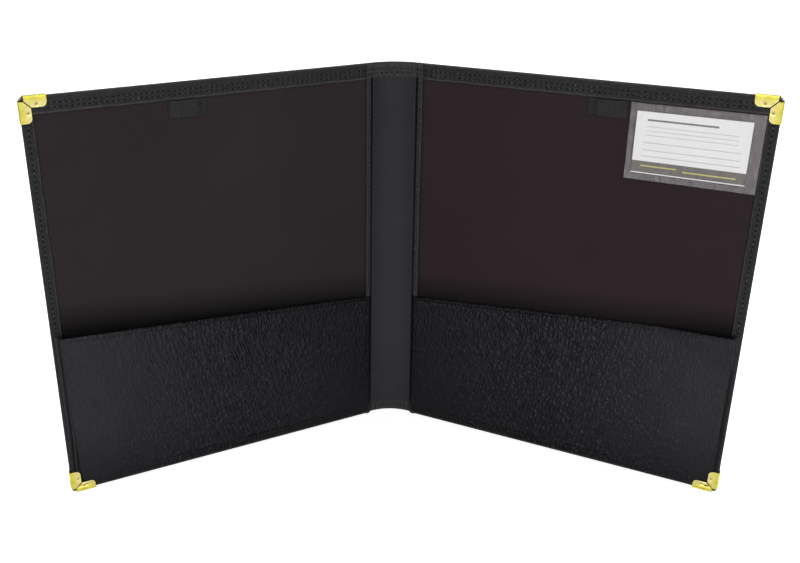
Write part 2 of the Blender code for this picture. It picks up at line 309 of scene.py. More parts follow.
class Material(Nodes):
    """A material with one shader. Its patterns lie on the flat sheet that a piece is cut from."""

    def __init__(self, name):
        self.material = bpy.data.materials.new(name)
        super().__init__(self.material)
        self.shader = self.tree.nodes["Principled BSDF"]
        self.flat = self.add("ShaderNodeUVMap", uv_map="flat").outputs["UV"]

    def split(self):
        """The two parts of the flat position."""
        return self.add("ShaderNodeSeparateXYZ", {0: self.flat}).outputs[:2]

    def mapped(self, scale, turn=0.0):
        """The flat position, stretched and turned."""
        inputs = {"Vector": self.flat, "Rotation": (0, 0, turn), "Scale": scale}
        return self.add("ShaderNodeMapping", inputs).outputs[0]

    def mix(self, share, a, b):
        """Two colours mixed by a share."""
        node = self.add("ShaderNodeMix", data_type="RGBA")
        colours = [k for k, socket in enumerate(node.inputs) if socket.type == "RGBA"]
        self.give(node, {"Factor": share, colours[0]: a, colours[1]: b})
        return next(socket for socket in node.outputs if socket.type == "RGBA")

    def scaled(self, vector, share):
        """A vector or a colour times a share."""
        inputs = {0: vector, "Scale": share}
        return self.add("ShaderNodeVectorMath", inputs, operation="SCALE").outputs[0]

    def noise(self, size, detail=2.0, roughness=0.5, vector=None):
        """Soft noise with bumps of about the given size."""
        inputs = {"Vector": vector or self.flat, "Scale": 1 / size, "Detail": detail,
                  "Roughness": roughness}
        return self.add("ShaderNodeTexNoise", inputs).outputs["Fac"]

    def look(self, inputs):
        """Give the shader's inputs values or links."""
        self.give(self.shader, inputs)

    def bump(self, height, distance, strength=1.0):
        """Turn a height from 0 to 1 into relief of the given depth, over the relief so far."""
        inputs = {"Height": height, "Distance": distance, "Strength": strength}
        normal = self.shader.inputs["Normal"]
        if normal.is_linked:
            inputs["Normal"] = normal.links[0].from_socket
        self.look({"Normal": self.add("ShaderNodeBump", inputs).outputs["Normal"]})


def grey(value, tint=(1, 1, 1)):
    """A grey, or another colour by its tint, with alpha."""
    return tuple(value * share for share in tint) + (1.0,)


def pocket_shading_and_relief(nodes, across, up):
    """A pocket's tone is darkened beside the fold and along its foot as painted shade, and its
    grain is pulled flat at both ends.
    """
    # Painted shade: darker towards the fold and towards the foot.
    shade_tone = nodes.math("POWER", nodes.ramp(across, 0.02, 0.29, 0.12), 1.3)
    shade_tone = nodes.math("MULTIPLY", shade_tone, nodes.ramp(up, 0.0, 0.06, 0.4))
    relief = nodes.math("MULTIPLY", nodes.ramp(across, 0.03, 0.13, 0.35),
                        nodes.ramp(across, 0.17, 0.28, 1.0, 0.42))
    return shade_tone, relief


def gusset_crest_shading(nodes, across, up):
    """The crests of a gusset's folds are painted light as a highlight, and the folds between them
    dark as painted shade.
    """
    crest = nodes.math("COSINE", nodes.math("MULTIPLY", across, 2 * math.pi / GUSSET_PLEAT))
    # Painted light and shade: light crests, dark between them.
    return nodes.math("POWER", nodes.ramp(crest, -1.0, 1.0, 0.25), 3.0), 1.0


def strip_height_shading(nodes, across, up):
    """The inner strip is painted lighter towards its foot and darker towards its top, as painted
    light and shade.
    """
    # Painted light and shade: full tone at the foot, a tenth of it towards the top.
    return nodes.ramp(up, 0.04, 0.33, 1.0, 0.10), 1.0


def grained(name, colour, grain, depth, roughness, shine, tint, stretch=1.0, valley=0.32,
            shading_and_relief=None):
    """Leatherette: pebbles of about the grain's size, with fine wrinkles; their tops are painted
    paler and their valleys darker as painted shade.

    valley is the share of a pebble that slopes down to its rim. The last argument gives the
    painted light and shade in the leather's tone, and how strong its grain stands at a place of
    the flat sheet.
    """
    nodes = Material(name)
    painted_tone, relief = shading_and_relief(nodes, *nodes.split()) if shading_and_relief else (1.0, 1.0)
    nodes.flat = nodes.mapped((1, 1 / stretch, 1), 0.3)
    warp = nodes.add("ShaderNodeTexNoise", {"Vector": nodes.flat, "Scale": 0.6 / grain})
    shift = nodes.add("ShaderNodeVectorMath", {0: warp.outputs["Color"], 1: (0.5, 0.5, 0.5)},
                      operation="SUBTRACT").outputs[0]
    bent = nodes.add("ShaderNodeVectorMath", {0: nodes.flat, 1: nodes.scaled(shift, 0.9 * grain)})
    cells = nodes.add("ShaderNodeTexVoronoi", {"Vector": bent.outputs[0], "Scale": 1 / grain},
                      feature="DISTANCE_TO_EDGE")
    dome = nodes.math("POWER", nodes.ramp(cells.outputs["Distance"], 0.0, valley), 0.6)
    height = nodes.math("MULTIPLY_ADD", nodes.noise(0.25 * grain, 3.0, 0.6), 0.25, dome)
    tone = nodes.ramp(nodes.noise(0.03, 3.0), 0.3, 0.7, 0.85, 1.15)
    # Painted shade: the valleys between pebbles are darker than their tops.
    tone = nodes.math("MULTIPLY", tone, nodes.ramp(dome, 0.0, 1.0, 0.7, 1.08))
    # Painted light and shade that the last argument gives.
    tone = nodes.math("MULTIPLY", tone, painted_tone)
    dull = nodes.ramp(nodes.noise(0.012, 3.0), 0.3, 0.7, roughness - 0.05, roughness + 0.06)
    nodes.look({"Base Color": nodes.scaled(colour[:3], tone),
                "Roughness": nodes.math("ADD", nodes.ramp(dome, 0.0, 1.0, 0.15, 0.0), dull),
                "Specular IOR Level": shine, "Specular Tint": grey(1.0, tint)})
    nodes.bump(height, depth, relief)
    return nodes.material


def woven(name, colour, thread, depth, mouth):
    """Fine matt cloth in a plain weave, darkened towards the pocket's mouth as painted shade.

    mouth gives the height of the pocket's mouth at the fold, and its slope.
    """
    nodes = Material(name)
    parts = nodes.split()
    level = nodes.math("MULTIPLY_ADD", parts[0], mouth[1], mouth[0])
    above = nodes.math("SUBTRACT", parts[1], level)
    waves = [nodes.math("SINE", nodes.math("MULTIPLY", part, math.pi / thread)) for part in parts]
    ridge = nodes.math("ABSOLUTE", nodes.math("MULTIPLY", *waves))
    slub = nodes.noise(0.004, 4.0, 0.7)
    tone = nodes.math("MULTIPLY", nodes.ramp(nodes.noise(0.09), 0.3, 0.7, 0.92, 1.08),
                      nodes.ramp(slub, 0.2, 0.8, 0.85, 1.12))
    # Painted shade: the cloth darkens over the last 26 mm above the pocket's mouth.
    tone = nodes.math("MULTIPLY", tone, nodes.ramp(above, 0.0, 0.026, 0.08))
    nodes.look({"Base Color": nodes.scaled(colour, tone),
                "Roughness": nodes.ramp(slub, 0.2, 0.8, 0.8, 0.95), "Specular IOR Level": 0.15})
    nodes.bump(nodes.math("MULTIPLY_ADD", slub, 0.6, ridge), depth)
    return nodes.material


def pressed_brass(name, bright, scuff):
    """Sheet brass with faint rolling lines and finger marks, and a dark prong hole in each leg.

    bright scales its colour, and scuff is added to its roughness. The bend at the edge is a
    deeper yellow than the flat legs.
    """
    nodes = Material(name)
    parts = nodes.split()
    lines = nodes.noise(1 / 9000, vector=nodes.mapped((1, 0.06, 1)))
    marks = nodes.noise(0.007, 3.0)
    base = nodes.mix(nodes.ramp(parts[1], 0.001, 0.0065), grey(bright, (0.60, 0.54, 0.075)),
                     grey(bright, (0.70, 0.62, 0.25)))
    base = nodes.mix(nodes.ramp(marks, 0.46, 0.72, 0.0, 0.55), base, (0.34, 0.29, 0.04, 1))
    off = [nodes.math("SUBTRACT", *pair) for pair in zip(parts, PRONG)]
    gap = nodes.math("SQRT", nodes.math("ADD", *[nodes.math("MULTIPLY", x, x) for x in off]))
    hole = nodes.ramp(gap, 0.3 * PRONG_RADIUS, PRONG_RADIUS, 1.0, 0.0)
    nodes.look({"Base Color": nodes.mix(hole, base, (0.05, 0.035, 0.01, 1)), "Metallic": 1.0,
                "Roughness": nodes.ramp(marks, 0.3, 0.75, 0.24 + scuff, 0.40 + scuff)})
    nodes.bump(lines, 0.000008)
    nodes.bump(marks, 0.0002)
    return nodes.material


def spun_thread(name, colour):
    """Sewing thread, twisted from fine plies."""
    nodes = Material(name)
    along, around = nodes.split()
    turn = nodes.math("ADD", nodes.math("MULTIPLY", along, 5200.0),
                      nodes.math("MULTIPLY", around, 12.0))
    ply = nodes.ramp(nodes.math("SINE", turn), -1.0, 1.0)
    base = nodes.mix(ply, grey(0.4 * colour), grey(1.3 * colour, (1, 1, 1.05)))
    nodes.look({"Base Color": base, "Roughness": 0.7, "Specular IOR Level": 0.12})
    nodes.bump(ply, 0.00005)
    return nodes.material


def clear_film(name):
    """Clear vinyl with a pale haze that is partly painted sheen, fine scuffs and soft ripples."""
    nodes = Material(name)
    scuffs = nodes.noise(1 / 520, 3.0, vector=nodes.mapped((1, 0.18, 1), 0.7))
    # The pale grey base, seen through the low alpha, is partly a real haze and partly painted
    # sheen.
    base = nodes.mix(nodes.ramp(scuffs, 0.35, 0.65), (0.46, 0.43, 0.45, 1), (0.82, 0.78, 0.80, 1))
    nodes.look({"Base Color": base, "Roughness": nodes.ramp(scuffs, 0.3, 0.7, 0.12, 0.30),
                "Alpha": 0.075})
    nodes.bump(nodes.noise(0.02), 0.0006)
    nodes.bump(scuffs, 0.0001)
    return nodes.material


def printed_card(name, width, height):
    """White card with plain grey rules, and a plain dark band with two thin yellow rules."""
    nodes = Material(name)
    across, up = nodes.split()

    def between(part, low, high, size):
        """1 between two shares of the card's size."""
        return nodes.math("COMPARE", part, (low + high) / 2 * size, (high - low) / 2 * size)

    yellow = (0.55, 0.50, 0.09, 1)
    marks = [(-0.01, 1.01, 0.014, 0.20, (0.075, 0.068, 0.055, 1)),
             (0.08, 0.40, 0.115, 0.135, yellow), (0.46, 0.92, 0.085, 0.105, yellow),
             (0.10, 0.72, 0.855, 0.885, grey(0.12))]
    marks += [(0.10, 0.90, level, level + 0.012, grey(0.55)) for level in (0.76, 0.69, 0.62)]
    marks += [(0.08, 0.94, level, level + 0.010, grey(0.42)) for level in (0.50, 0.38, 0.28)]
    fibres = nodes.noise(0.0006, 3.0)
    colour = nodes.mix(fibres, grey(0.81), grey(0.86))
    for left, right, low, high, ink in marks:
        inside = nodes.math("MULTIPLY", between(across, left, right, width),
                            between(up, low, high, height))
        colour = nodes.mix(inside, colour, ink)
    nodes.look({"Base Color": colour, "Roughness": nodes.ramp(fibres, 0, 1, 0.55, 0.7)})
    nodes.bump(nodes.noise(0.0005, 3.0), 0.00003)
    return nodes.material


def raw_board(name):
    """Grey fibre board."""
    nodes = Material(name)
    coordinates = nodes.add("ShaderNodeTexCoord").outputs["Object"]
    fibres = nodes.noise(1 / 900, 4.0, vector=coordinates)
    nodes.look({"Base Color": nodes.mix(fibres, grey(0.2), grey(0.36)), "Roughness": 0.9})
    nodes.bump(fibres, 0.0001)
    return nodes.material


# Width of a whole pleat of the gusset, from crest to crest, on the flat strip
GUSSET_PLEAT = 0.012

PLAIN_SHINE = (0.97, 0.97, 1.0)
COOL_SHINE = (0.90, 0.88, 1.0)
OUTER_LEATHER = grained("leatherette", grey(0.0065, (1, 1, 1.05)), grain=0.0015, depth=0.0004,
                        roughness=0.36, shine=0.31, tint=PLAIN_SHINE)
# A paler copy of the leatherette, painted highlight: on the hems' cut edges, on the puckers
# between stitches and on the inner strip's sewn bands.
HIGHLIT_LEATHER = grained("highlit_leatherette", grey(0.034, (1, 1, 1.03)), grain=0.0015,
                         depth=0.0007, roughness=0.34, shine=0.42, tint=PLAIN_SHINE)
POCKET_LEATHER = grained("pocket_leatherette", grey(0.0150, (1, 0.98, 1.15)), grain=0.0034,
                         depth=0.0013, roughness=0.32, shine=0.22, tint=COOL_SHINE,
                         stretch=2.4, valley=0.28, shading_and_relief=pocket_shading_and_relief)
GUSSET_LEATHER = grained("gusset_leatherette", grey(0.036, (1, 0.98, 1.10)), grain=0.0014,
                         depth=0.0003, roughness=0.45, shine=0.16, tint=(0.90, 0.90, 1.0),
                         shading_and_relief=gusset_crest_shading)
SPINE_VINYL = grained("spine_vinyl", grey(0.0155, (1, 0.98, 1.15)), grain=0.0007,
                      depth=0.00004, roughness=0.42, shine=0.29, tint=COOL_SHINE,
                      shading_and_relief=strip_height_shading)
CLOTH_COLOUR = {"left": (0.0210, 0.0165, 0.0172), "right": (0.0220, 0.0135, 0.0160)}
BRASS_SHEET = pressed_brass("corner_brass", bright=0.87, scuff=0.0)
# The foot's corners are painted brighter, as painted light, and are rougher from scuffing.
SCUFFED_LIT_BRASS = pressed_brass("scuffed_lit_brass", bright=1.25, scuff=0.24)
DARK_THREAD = spun_thread("sewing_thread", 0.004)
FILM = clear_film("clear_film")
BOARD = raw_board("raw_board")


def cover_ride(obj, side):
    """Fix a piece to its cover."""
    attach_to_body(obj, side + "_cover")


def fold_blend(obj, side):
    """Bake a piece's placement into its mesh; the piece runs from the spine onto the cover."""
    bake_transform(obj)


# Outer leatherette with its turned hems


def hem_rings():
    """The hem's section from its cut edge round the bend to the back.

    Each entry is the share of the hem's width from the bend, the inset where the share is 0,
    and the level towards the reader.
    """
    middle = (HEM_BACK + HEM_FRONT) / 2
    rings = [(share, EDGE_BEND, middle) for share in spread(1, 0, 36)[:-1]]
    rings += [(0, inset, level) for inset, level in turned_edge(EDGE_BEND, middle, 0)]
    return rings + [(0, 0.003, 0), (0, 0.0055, 0), (0, BACK_MARGIN, 0)]


def hem_height(u):
    """How much of its full level the turned hem has where it dives under the hinge band."""
    if u > BAND_END:
        return 1.0
    share = min(1, (u - BAND_START) / (BOARD_START - BAND_START))
    level = BAND_BACK + (HEM_BACK - BAND_BACK) * share
    return max(0.0, (level - LEATHERETTE / 2 - LAYER_GAP / 2) / HEM_FRONT)


def groove(distance, rows):
    """How far a row of stitches pulls the surface in at a distance from the edge."""
    return GROOVE_DEPTH * sum(hump(distance - row, GROOVE_WIDTH) for row in rows)


def roll(distance):
    """How far the outermost strip of a hem rounds off towards its edge."""
    return EDGE_DROP * max(0.0, 1 - distance / EDGE_ROLL) ** 2


# Where the hems come out from under the hinge band
HEM_START = BAND_END + 0.0004
COVER_COLUMNS = stations(HEM_START, (0.02, 4), (COVER_WIDTH - CORNER_REACH, 60))
BACK_COLUMNS = stations(-HALF_SPINE, (-FOLD_REACH, 10), (FOLD_REACH, 12), (HEM_START, 4))
HEM_WAVE = (0.00010, 0.012, 3.0)
# The wave in the hem's cut edge, and the share of the hem from which it shows
CUT_WAVE = (0.0004, 0.018, 7.0)
CUT_SHARE = 0.8


def build_outer_leatherette(side):
    """Half of the one sheet round the outside: half the spine, a cover and its three hems."""
    def back_shape(u, z):
        return u, 0, z

    surface = Surface(side + "_leatherette")
    edge = LEATHERETTE / 2
    width, foot, top = COVER_WIDTH - edge, FOOT + edge, TOP - edge
    edge_columns = [u for u in BACK_COLUMNS if u > BAND_START + 0.0005] + COVER_COLUMNS[1:]
    edge_rows = spread(foot + CORNER_REACH, top - CORNER_REACH, 76)
    count = len(edge_columns)
    rings = []
    unrolled = 0.0
    previous = None
    for share, inset, level in hem_rings():
        ring = []
        foot_in = inset + (BOTTOM_HEM - EDGE_BEND) * share
        side_in = inset + (SIDE_HEM - EDGE_BEND) * share
        top_in = inset + (TOP_HEM - EDGE_BEND) * share
        at = (side_in, level)
        unrolled += math.dist(at, previous or at)
        previous = at
        at_side, at_foot, at_top = width - side_in, foot + foot_in, top - top_in
        route = [(u, at_foot, foot_in, FOOT_ROWS) for u in edge_columns]
        cut = max(0.0, FOOT_TIP_CUT - side_in - foot_in)
        route += [(at_side - cut, at_foot, foot_in, ()), (at_side, at_foot + cut, side_in, ())]
        route += [(at_side, z, side_in, SIDE_ROWS) for z in edge_rows]
        cut = max(0.0, TOP_TIP_CUT - side_in - top_in)
        route += [(at_side, at_top - cut, side_in, ()), (at_side - cut, at_top, top_in, ())]
        route += [(u, at_top, top_in, TOP_ROWS) for u in reversed(edge_columns)]
        for k, (u, z, distance, rows) in enumerate(route):
            along = k < count or k >= len(route) - count
            raised = level * hem_height(u) if along else level
            if level > HEM_BACK:
                raised += wander(u, z, HEM_WAVE) - groove(distance + edge, rows)
                raised -= roll(distance)
            pull = share * wander(u, z, CUT_WAVE) if share > CUT_SHARE else 0.0
            if along:
                z += pull
            else:
                u += pull
            ring.append((place(side, u, raised, z), (u + z, unrolled)))
        rings.append(ring)
    # The rings nearest the cut edge take the paler leatherette, a painted highlight.
    surface.add_grid(rings[:HIGHLIT_RINGS + 1], flip=side == "right", slot=1)
    surface.add_grid(rings[HIGHLIT_RINGS:], flip=side == "right")
    columns = BACK_COLUMNS[:-1] + COVER_COLUMNS + [width - BACK_MARGIN]
    rows = [foot + BACK_MARGIN] + edge_rows + [top - BACK_MARGIN]
    surface.add_patch(side, columns, rows, back_shape)
    margins = [u for u in columns if u <= edge_columns[0] + 1e-6]
    for strip in (spread(foot, foot + BACK_MARGIN, 3), spread(top - BACK_MARGIN, top, 3)):
        surface.add_patch(side, margins, strip, back_shape)
    obj = surface.finish(OUTER_LEATHER, merge=0.00001, thickness=LEATHERETTE, rim=0.00012)
    obj.data.materials.append(HIGHLIT_LEATHER)
    fold_blend(obj, side)
    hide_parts(side + "_cover_skin", "spine_skin")


def band_level(u):
    """Middle level of the inner strip across the spine, the fold and the ramp to the cover."""
    half = LEATHERETTE / 2
    if u <= BAND_START:
        return BAND_BACK + half
    rise = smooth_step((u - BAND_START) / (BOARD_START - BAND_START))
    return BAND_BACK + half + (HEM_BACK - BAND_BACK) * rise


FOLD_CREASE = 0.0003
FOLD_CREASE_WIDTH = 0.0006
FOLD_BEAD = 0.0004
BEAD_PLACE = 0.0027
BEAD_WIDTH = 0.0013
HEM_STEP = 0.0004
HEM_STEP_REACH = 0.001
STRIP_WAVE = (0.00008, 0.02, 11.0)
LINING_WAVE = (0.00006, 0.03, 5.0)
# How far the lining goes on under the hems
LINING_MARGIN = 0.002


def build_inner_strip(side):
    """Half of the smooth strip inside the spine, sewn down on the cover beside the fold."""
    columns = stations(-HALF_SPINE, (-FOLD_REACH, 10), (FOLD_REACH, 14), (BAND_END, 10))
    rows = stations(FOOT, (FOOT + 0.012, 24), (TOP - 0.016, 60), (TOP, 32))

    def shape(u, z):
        level = band_level(u) - groove(u, (CREASE_ROW,))
        level += FOLD_BEAD * hump(u - BEAD_PLACE, BEAD_WIDTH)
        level -= FOLD_CREASE * hump(u, FOLD_CREASE_WIDTH)
        level -= groove(TOP - z, TOP_ROWS) + groove(z - FOOT, SPINE_FOOT_ROWS)
        hem = smooth_step((z - TOP + TOP_HEM) / HEM_STEP_REACH)
        hem += smooth_step((FOOT + BOTTOM_HEM - z) / HEM_STEP_REACH)
        level += HEM_STEP * hem
        return u, level + wander(u, z, STRIP_WAVE), z

    obj = sheet(side + "_inner_strip", side, columns, rows, shape, SPINE_VINYL, LEATHERETTE,
                rim=0.00006)
    obj.data.materials.append(HIGHLIT_LEATHER)
    # Faces on the cover and at the strip's ends take the paler leatherette, painted highlight.
    for polygon in obj.data.polygons:
        height = polygon.center.z
        on_cover = columns[polygon.index // (len(rows) - 1)] > FOLD_REACH
        at_end = height > TOP - TOP_HEM or height < FOOT + BOTTOM_HEM
        polygon.material_index = int(on_cover or at_end)
    fold_blend(obj, side)
    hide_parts(side + "_hinge_band", "spine_lining")


def build_lining(side):
    """The cloth over the inside of the board, its margins under the hems."""
    u_range = (BAND_END - LINING_MARGIN, COVER_WIDTH - SIDE_HEM + LINING_MARGIN)
    z_range = (FOOT + BOTTOM_HEM - LINING_MARGIN, TOP - TOP_HEM + LINING_MARGIN)
    middle = (LINING_BACK + LINING_FRONT) / 2

    def shape(u, z):
        return u, middle + wander(u, z, LINING_WAVE), z

    pocket = POCKETS[side]
    slope = pocket.mouth(1.0) - pocket.mouth(0.0)
    cloth = woven(side + "_lining_cloth", CLOTH_COLOUR[side], 0.0005, 0.00006,
                  (pocket.mouth(0.0), slope))
    obj = sheet(side + "_cloth", side, spread(*u_range, 50), spread(*z_range, 60), shape,
                cloth, LINING, rim=0)
    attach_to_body(obj, side + "_cover")
    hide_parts(side + "_lining")


# Pockets

PANEL_START = 0.0024
MOUTH_BEND = 0.0008
MOUTH_HEM = 0.009
# The mouth's groove in the depth of other grooves, and the roll along the mouth and outer edge
MOUTH_GROOVE = 1.4
FRONT_WAVE = (0.00015, 0.03, 13.0)
ROLL_HEIGHT = 0.0006
ROLL_WIDTH = 0.0012
MOUTH_ROLL = 0.0016
OUTER_ROLL = 0.0014
# How much wider each front is at its mouth than at its foot, and higher at its outer corner
FLARE = {"left": 0.0045, "right": 0.0}
LIFT = {"left": 0.0020, "right": 0.0}
# The left front bends along its fold, and the right one only near its corner, within these shares
# of the way from the fold to the corner
LEFT_BEND = 0.012
RIGHT_BEND = (0.70, 0.97)


class Pocket:
    """One pocket's outline and how far its front stands off the cover."""

    def __init__(self, side):
        sides, _, (self.foot, self.fold_head) = extent(side + "_pocket_base", side)
        _, (_, front), (self.fold_foot, self.outer_top) = extent(side + "_pocket_flap", side)
        self.spine_side, self.outer = sides
        self.side = side
        self.middle = (POCKET_BACK + POCKET_FRONT) / 2
        self.rise = front - POCKET_FRONT
        run, climb = self.outer - self.spine_side, self.fold_head - self.fold_foot
        length = math.hypot(run, climb)
        self.up_u, self.up_z = climb / length, run / length
        self.reach = self.above_fold(self.outer, self.outer_top)
        if side == "left":
            self.bend = (-LEFT_BEND, LEFT_BEND)
        else:
            self.bend = [share * self.reach for share in RIGHT_BEND]

    def above_fold(self, u, z):
        """Distance above the fold line, square to it in the cover's plane."""
        return (u - self.outer) * self.up_u + (z - self.fold_foot) * self.up_z

    def stand_off(self, u, z):
        """How far the front stands off the flat pocket at a place."""
        distance = self.above_fold(u, z)
        low, high = self.bend
        lift = distance * self.rise / self.reach * smooth_step((distance - low) / (high - low))
        return max(0.0, lift)

    def edge(self, z):
        """The front's outer edge at a height."""
        share = (z - self.foot) / (self.outer_top - self.foot)
        return self.outer + FLARE[self.side] * share

    def mouth(self, u):
        """Height of the top edge."""
        share = (u - self.spine_side) / (self.outer - self.spine_side)
        return self.fold_head + (self.outer_top + LIFT[self.side] - self.fold_head) * share

    def bend_points(self):
        """Where the front starts to turn with the flap, and where it turns fully."""
        return [place(self.side, self.outer + self.up_u * distance, self.middle,
                      self.fold_foot + self.up_z * distance) for distance in self.bend]

    def level(self, u, z):
        """Middle level of the front sheet at a place."""
        level = self.middle + self.stand_off(u, z)
        if u < BAND_END:
            level += min(0.0, band_level(u) + LEATHERETTE + LAYER_GAP / 2 - self.middle)
        return level


POCKETS = {side: Pocket(side) for side in SIDES}


def pocket_blend(obj, side):
    """Bake the placement of a piece of a pocket into its mesh."""
    start, end = POCKETS[side].bend_points()
    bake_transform(obj)


def build_pocket_front(side):
    """The pocket's front: one panel with a hem folded in behind its mouth."""
    pocket = POCKETS[side]
    columns = stations(PANEL_START, (BAND_END, 8), (pocket.outer, 96))
    rows = [("front", t) for t in stations(0, (0.1, 8), (0.9, 30), (1, 10))]
    rows += [("bend", math.pi * k / 6) for k in range(1, 6)]
    rows += [("hem", t) for t in spread(0, 1, 4)]

    def shape(u, row):
        kind, t = row
        top = pocket.mouth(u) - MOUTH_BEND - LEATHERETTE / 2
        share = (u - PANEL_START) / (pocket.outer - PANEL_START)
        if kind == "front":
            z = pocket.foot + (top - pocket.foot) * t
            u += (pocket.edge(z) - pocket.outer) * share
            below, inside = pocket.mouth(u) - z, pocket.edge(z) - u
            level = pocket.level(u, z) - MOUTH_GROOVE * groove(below, (MOUTH_ROW,))
            level += ROLL_HEIGHT * hump(below - MOUTH_ROLL, ROLL_WIDTH)
            level += ROLL_HEIGHT * hump(inside - OUTER_ROLL, ROLL_WIDTH)
            level -= groove(z - FOOT, FOOT_ROWS)
            return u, level + wander(u, z, FRONT_WAVE), z
        u += (pocket.edge(top) - pocket.outer) * share
        if kind == "bend":
            z = top + MOUTH_BEND * math.sin(t)
            return u, pocket.level(u, top) - MOUTH_BEND * (1 - math.cos(t)), z
        z = top - MOUTH_HEM * t
        return u, pocket.level(u, z) - 2 * MOUTH_BEND * (1 - 0.4 * t), z

    surface = Surface(side + "_pocket_front")
    grid = []
    for u in columns:
        line = [place(side, *shape(u, row)) for row in rows]
        lengths = [0.0]
        for a, b in zip(line, line[1:]):
            lengths.append(lengths[-1] + (b - a).length)
        grid.append([(point, (u, length)) for point, length in zip(line, lengths)])
    surface.add_grid(grid, flip=side == "left")
    obj = surface.finish(POCKET_LEATHER, thickness=LEATHERETTE, rim=0.00015)
    pocket_blend(obj, side)
    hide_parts(side + "_pocket_base", side + "_pocket_flap")
    length = pocket.mouth(pocket.outer) - pocket.foot + MOUTH_HEM


GUSSET = 0.0005
GUSSET_INSET = 0.0026
# How far its inner edge lies past the front's, and is drawn in and lifted where it is open
GUSSET_LAP = 0.0004
GUSSET_TUCK = 0.0010
GUSSET_LIFT = 0.0004
# How far it goes on below the fold's foot, and ends below the pocket's top
GUSSET_ENDS = (0.004, 0.0012)
# The gusset's folds at its open end: share of the way in from the cover's edge, share of the
# pocket's rise, and depth towards the spine in metres
GUSSET_FOLDS = [(0.0, 0.0, 0.0), (0.30, 0.12, 0.0045), (0.62, 0.62, 0.0), (0.78, 0.45, 0.0045),
                (1.0, 0.92, -0.0012)]
# The pleats lie flat where the front stands off the cover by less than this
PLEAT_RISE = 0.004
# How far each side of a pleat bows out, and the pleats' depth at their foot, as shares
PLEAT_BOW = 0.05
PLEAT_FOOT = 0.35
PLEAT_STEPS = 5


def build_gusset(side):
    """The folded strip that closes the pocket's outer end."""
    pocket = POCKETS[side]
    outer = COVER_WIDTH - GUSSET_INSET
    line = []
    for (a, rise, depth), (b, rise_b, depth_b) in zip(GUSSET_FOLDS, GUSSET_FOLDS[1:]):
        for t in spread(0, 1, PLEAT_STEPS)[:-1]:
            bow = PLEAT_BOW * math.sin(math.pi * t)
            line.append((a + (b - a) * t, rise + (rise_b - rise) * t + bow,
                         depth + (depth_b - depth) * smooth_step(t)))
    line.append(GUSSET_FOLDS[-1])
    rows = spread(pocket.fold_foot - GUSSET_ENDS[0], pocket.outer_top - GUSSET_ENDS[1], 40)
    base = HEM_FRONT + LAYER_GAP + GUSSET / 2

    def shape(k, z):
        across, rise, depth = line[k]
        lift = pocket.stand_off(pocket.outer, z)
        share = (z - rows[0]) / (rows[-1] - rows[0])
        open_share = smooth_step(lift / PLEAT_RISE)
        inner = pocket.edge(z) + GUSSET_LAP - GUSSET_TUCK * open_share
        depth *= open_share * (PLEAT_FOOT + (1 - PLEAT_FOOT) * share)
        u = outer - (outer - inner) * across - depth
        return u, base + lift * rise + GUSSET_LIFT * across * open_share, z

    obj = sheet(side + "_gusset", side, range(len(line)), rows, shape, GUSSET_LEATHER, GUSSET,
                rim=0.0001, pitch=GUSSET_PLEAT / 2 / PLEAT_STEPS)
    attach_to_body(obj, side + "_cover")
    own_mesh(obj)
    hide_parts(side + "_pocket_gusset")


# Pencil loops

LOOP_STRAP = 0.0006
LOOP_FOOT = 0.003
LOOP_FLATNESS = 0.6
LOOP_SHOULDER = 0.006


def build_pencil_loop(side):
    """A short folded strap, sewn down at both ends, that holds a pencil."""
    (left, right), (back, front), (low, high) = extent(side + "_pencil_loop", side)
    half = (right - left) / 2 - LOOP_FOOT
    centre = (left + right) / 2

    def shape(u, z):
        lift = smooth_step((half - abs(u - centre)) / LOOP_SHOULDER)
        lift *= LOOP_FLATNESS * (front - back - LOOP_STRAP)
        return u, back + LOOP_STRAP / 2 + lift, z

    obj = sheet(side + "_pencil_strap", side, spread(left, right, 28), spread(low, high, 6),
                shape, OUTER_LEATHER, LOOP_STRAP, rim=0.00015)
    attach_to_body(obj, side + "_cover")
    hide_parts(side + "_pencil_loop")


# Brass corners

CORNER_LEG = 0.0212
CORNER_WIDTH = 0.009
CORNER_END = 0.004
CORNER_BEND = 0.0007
CORNER_SLIT = 0.0006
# The folded tip leaves the leatherette bare over this much of both edges
CORNER_TIP = 0.0040
# Knocks in the foot's legs: place along and across the leg, reach in both and height
KNOCKS = ((0.0095, 0.0050, 0.0045, 0.0011, -0.0010), (0.0115, 0.0078, 0.0045, 0.0012, 0.0008))


